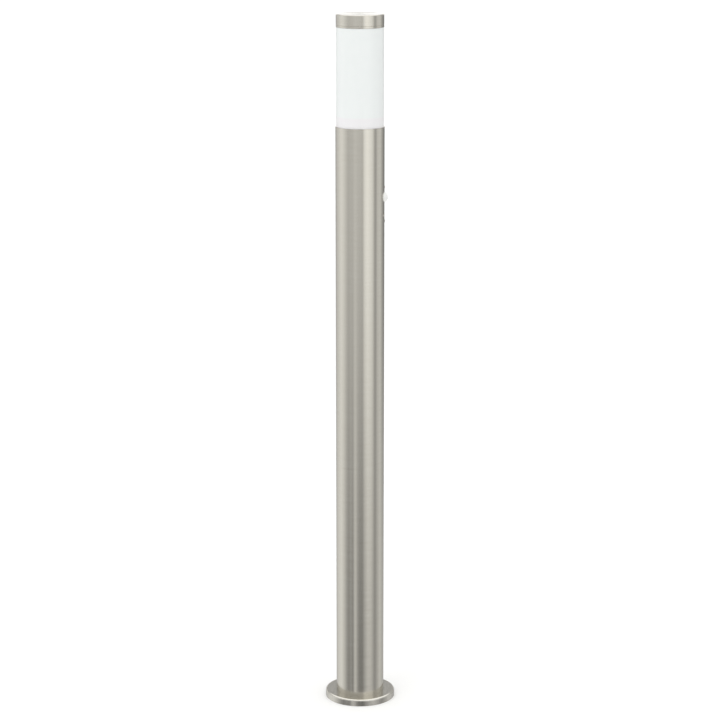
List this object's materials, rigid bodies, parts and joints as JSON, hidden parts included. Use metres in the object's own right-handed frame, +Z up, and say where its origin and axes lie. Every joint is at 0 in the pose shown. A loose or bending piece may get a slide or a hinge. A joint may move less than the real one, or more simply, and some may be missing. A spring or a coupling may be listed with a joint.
{
  "type": "bollard light",
  "caption": "Slim round garden post light with an opal lift-off head, a flush motion sensor in the pole and a rosette over its fixing flange.",
  "frame": {"origin": "middle of the foot at ground level", "axes": "+Z up along the pole, -Y towards the sensor's lens, X = 0 the symmetry plane of the outside"},
  "size_m": [0.111, 0.111, 1.1],
  "materials": {
    "brushed_stainless": "brushed, satin",
    "pressed_stainless": "satin pressed sheet",
    "plain_steel": "zinc plated",
    "screw_steel": "nickel plated",
    "brass": "drawn",
    "opal_diffuser": "opal polycarbonate",
    "opal_globe": "opal polycarbonate",
    "sensor_white": "moulded polyethylene",
    "clear_plastic": "clear polycarbonate",
    "black_plastic": "fine spark texture",
    "white_plastic": "moulded, satin",
    "grey_plastic": "moulded, matt",
    "black_rubber": "matt",
    "circuit_green": "solder resist",
    "relay_blue": "moulded",
    "lead_sheath": "flexible PVC",
    "earth_sheath": "flexible PVC",
    "lamp_sheath": "silicone sheathed"
  },
  "bodies": {
    "pole": {"base_flange": "plain_steel", "locating_ring": "plain_steel", "cable_grommet": "black_rubber", "pole_tube": "brushed_stainless", "head_carrier": "black_plastic", "head_gasket": "black_rubber", "lampholder_body": "black_plastic", "lampholder_sleeve": "brass", "lampholder_contact": "brass", "lampholder_screws": "screw_steel", "sensor_housing": "black_plastic", "sensor_gasket": "black_rubber", "sensor_back_cover": "black_plastic", "sensor_screws": "screw_steel", "sensor_lens": "sensor_white", "photocell_window": "clear_plastic", "circuit_board": "circuit_green", "board_screws": "screw_steel", "pir_element": "screw_steel", "photocell": "clear_plastic", "relay": "relay_blue", "capacitor": "grey_plastic", "time_potentiometer": "grey_plastic", "lux_potentiometer": "grey_plastic", "terminal_bracket": "plain_steel", "bracket_screws": "screw_steel", "terminal_block": "white_plastic", "terminal_clamps": "brass", "terminal_screws": "screw_steel", "block_screws": "screw_steel", "strain_relief": "grey_plastic", "strain_relief_screws": "screw_steel", "earth_tab": "plain_steel", "earth_lug": "screw_steel", "earth_screw": "screw_steel", "sensor_lead": "lead_sheath", "earth_lead": "earth_sheath", "lamp_leads": "lamp_sheath"},
    "rosette": {"base_cover": "pressed_stainless"},
    "head": {"diffuser": "opal_diffuser", "diffuser_ring": "white_plastic", "top_cap": "brushed_stainless", "cap_insert": "white_plastic", "cap_seal": "black_rubber"},
    "time_knob": {"time_adjuster": "white_plastic"},
    "lux_knob": {"lux_adjuster": "white_plastic"},
    "bulb": {"bulb_screw_shell": "screw_steel", "bulb_insulator": "black_plastic", "bulb_tip_contact": "screw_steel", "bulb_globe": "opal_globe", "bulb_housing": "white_plastic", "bulb_led_board": "circuit_green", "bulb_driver": "circuit_green"}
  },
  "joints": [
    {"name": "rosette_lift", "type": "slide", "parent": "pole", "child": "rosette", "axis": [0, 0, 1], "range_m": [0, 0.765]},
    {"name": "head_lift", "type": "slide", "parent": "pole", "child": "head", "axis": [0, 0, 1], "range_m": [0, 0.15]},
    {"name": "time_turn", "type": "hinge", "parent": "pole", "child": "time_knob", "pos_m": [-0.0065, -0.03, 0.7915], "axis": [0, -1, 0], "range_deg": [-135, 135]},
    {"name": "lux_turn", "type": "hinge", "parent": "pole", "child": "lux_knob", "pos_m": [0.0065, -0.03, 0.7915], "axis": [0, -1, 0], "range_deg": [-135, 135]},
    {"name": "bulb_turn", "type": "hinge", "parent": "pole", "child": "bulb", "pos_m": [0, 0, 0.92], "axis": [0, 0, 1], "range_deg": [0, 1800]}
  ]
}
